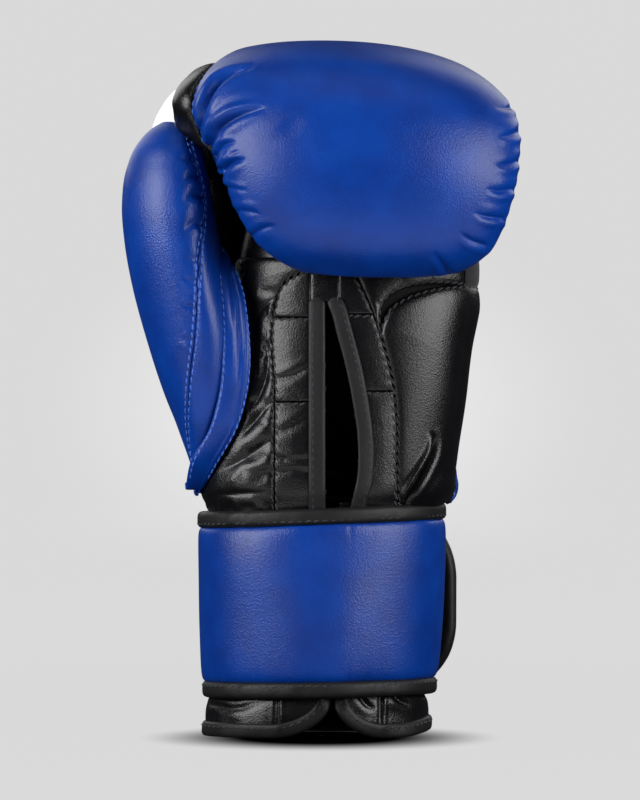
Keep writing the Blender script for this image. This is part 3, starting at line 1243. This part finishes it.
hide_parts("strap_heel_cover", "strap_heel_foam", "strap_heel_binding", "strap_palm_cover",
            "strap_palm_foam", "strap_palm_binding")
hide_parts("strap_side_cover", "strap_side_foam", "strap_side_binding")
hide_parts("strap_tail_cover", "strap_tail_foam", "strap_tail_binding")
PUFF += [(p[0], 0.6) for p in (root, front, side, tail)]
PUFF += [(flap_left, 0.2), (flap_right, 0.2), (cuff_back, 0.4)]

# short strap that locks the thumb's tip to the mitt
lock_line = np.array([[-63.5, -3, 240], [-63.8, 3, 240.5], [-63.6, 9, 241], [-62.5, 16, 241.5],
                      [-60, 24, 242.0]])
lock_out = np.array([[-1, -0.15, 0.05]] * 5, float)
lock = tape("thumb_lock_band", *evened(lock_line, lock_out, 30, 1), 6.5, 1.1, BLUE, wobble=0.05)
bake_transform(lock)
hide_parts("thumb_lock_strap")

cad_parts["grip_bar"].data.materials.clear()
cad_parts["grip_bar"].data.materials.append(BLACK)


# ---- stage --------------------------------------------------------------------------------------

def softbox(name, azimuth, height, distance, size, power, aim=(0, 0, 0.14)):
    """An area light aimed at the glove's middle, azimuth degrees from the camera towards the heel side."""
    a = math.radians(azimuth)
    data = bpy.data.lights.new(name, "AREA")
    data.shape = "RECTANGLE"
    data.size, data.size_y = size
    data.energy = power
    light = bpy.data.objects.new(name, data)
    light.location = (distance * math.sin(a), -distance * math.cos(a), height)
    light.rotation_euler = (Vector(aim) - light.location).to_track_quat("-Z", "Y").to_euler()
    light.visible_camera = False
    scene.collection.objects.link(light)


WALL, WALL_BEND, WALL_TOP = 8.0, 1.2, 6.0      # radius of the backdrop, bend at its foot, height, in metres


def studio_floor():
    """A round floor that curves up into a wall, so that every view has the same plain backdrop."""
    profile = [(0.0, 0.0), (0.6, 0.0), (1.4, 0.0), (WALL - WALL_BEND, 0.0)]
    profile += [(WALL - WALL_BEND * (1 - math.sin(b)), WALL_BEND - WALL_BEND * math.cos(b))
                for b in np.linspace(0, math.pi / 2, 14)[1:]]
    profile += [(WALL, 2 * WALL_BEND), (WALL, WALL_TOP)]
    around = np.linspace(0, 2 * math.pi, 72, endpoint=False)
    P = np.array([[(max(r, 0.001) * math.cos(a), max(r, 0.001) * math.sin(a), z) for a in around]
                  for r, z in profile]) / MM
    return grid_object("studio_floor", P, BACKDROP, closed=True)


def backdrop_paper():
    """Pale paper with a glow of its own: none where the glove's shadow falls, and more on the wall behind."""
    material, shader, place, node = new_material("backdrop_paper")

    def spot(centre, squeeze, start, end, inside, outside):
        flat = node("VectorMath", {0: place, 1: squeeze}, operation="MULTIPLY")
        middle = tuple(c * q for c, q in zip(centre, squeeze))
        reach = node("VectorMath", {0: flat.outputs["Vector"], 1: middle}, operation="DISTANCE")
        fade = node("MapRange", {"Value": reach.outputs["Value"], "From Min": start, "From Max": end,
                                 "To Min": inside, "To Max": outside}, interpolation_type="SMOOTHSTEP")
        return fade.outputs["Result"]

    def combine(operation, first, second):
        return node("Math", {0: first, 1: second}, operation=operation).outputs["Value"]

    def under_glove(inside, outside):
        return spot((-0.001, -0.02, 0), (1.6, 1, 1), 0.05, 0.125, inside, outside)

    wall_glow = spot((0, WALL - 0.64, 0.14), (1, 0.08, 1.45), 0.0, 0.44, 0.16, 0.0)
    paper = spot((0, 0, 0), (1, 1, 1), 0.3, 1.6, 0.685, 0.697)
    glow = combine("MULTIPLY", combine("ADD", wall_glow, paper), under_glove(0.0, 1.0))
    feed(shader, {"Emission Strength": glow,
                  "Base Color": under_glove(0.0, 0.012), "Emission Color": (1, 1, 1, 1), "Roughness": 1.0,
                  "Specular IOR Level": 0.0})
    return material


BACKDROP = backdrop_paper()
floor = studio_floor()
floor.visible_glossy = False
floor.visible_diffuse = False
softbox("softbox_thumb_side", -60, 0.52, 1.15, (0.84, 0.80), 18)
softbox("softbox_heel_side", 52, 0.46, 1.15, (0.88, 0.84), 16)
softbox("softbox_back_thumb_side", -145, 1.0, 1.5, (1.3, 1.1), 7)
softbox("softbox_back_heel_side", 145, 1.0, 1.5, (1.3, 1.1), 7)
softbox("softbox_top", 0, 2.3, 0.4, (1.6, 1.6), 4)
softbox("floor_bounce_card", 0, 0.004, 0.34, (0.9, 0.36), 1.1, aim=(0, -0.34, 1))
world = bpy.data.worlds.new("studio")
scene.world = world
world.use_nodes = True
world.node_tree.nodes["Background"].inputs["Color"].default_value = (0.9, 0.93, 1.0, 1)
world.node_tree.nodes["Background"].inputs["Strength"].default_value = 0.025
scene.view_settings.view_transform = "Standard"

LENS_LENGTH = 324                     # millimetres
CAMERA_DISTANCE, CAMERA_HEIGHT, CAMERA_ASIDE = 3.0, 0.1397, -0.0008
lens = bpy.data.cameras.new("camera")
lens.lens = LENS_LENGTH
lens.sensor_width = 36
camera = bpy.data.objects.new("camera", lens)
camera.location = (CAMERA_ASIDE, -CAMERA_DISTANCE, CAMERA_HEIGHT)
camera.rotation_euler = (math.radians(90), 0, 0)
scene.collection.objects.link(camera)
scene.camera = camera
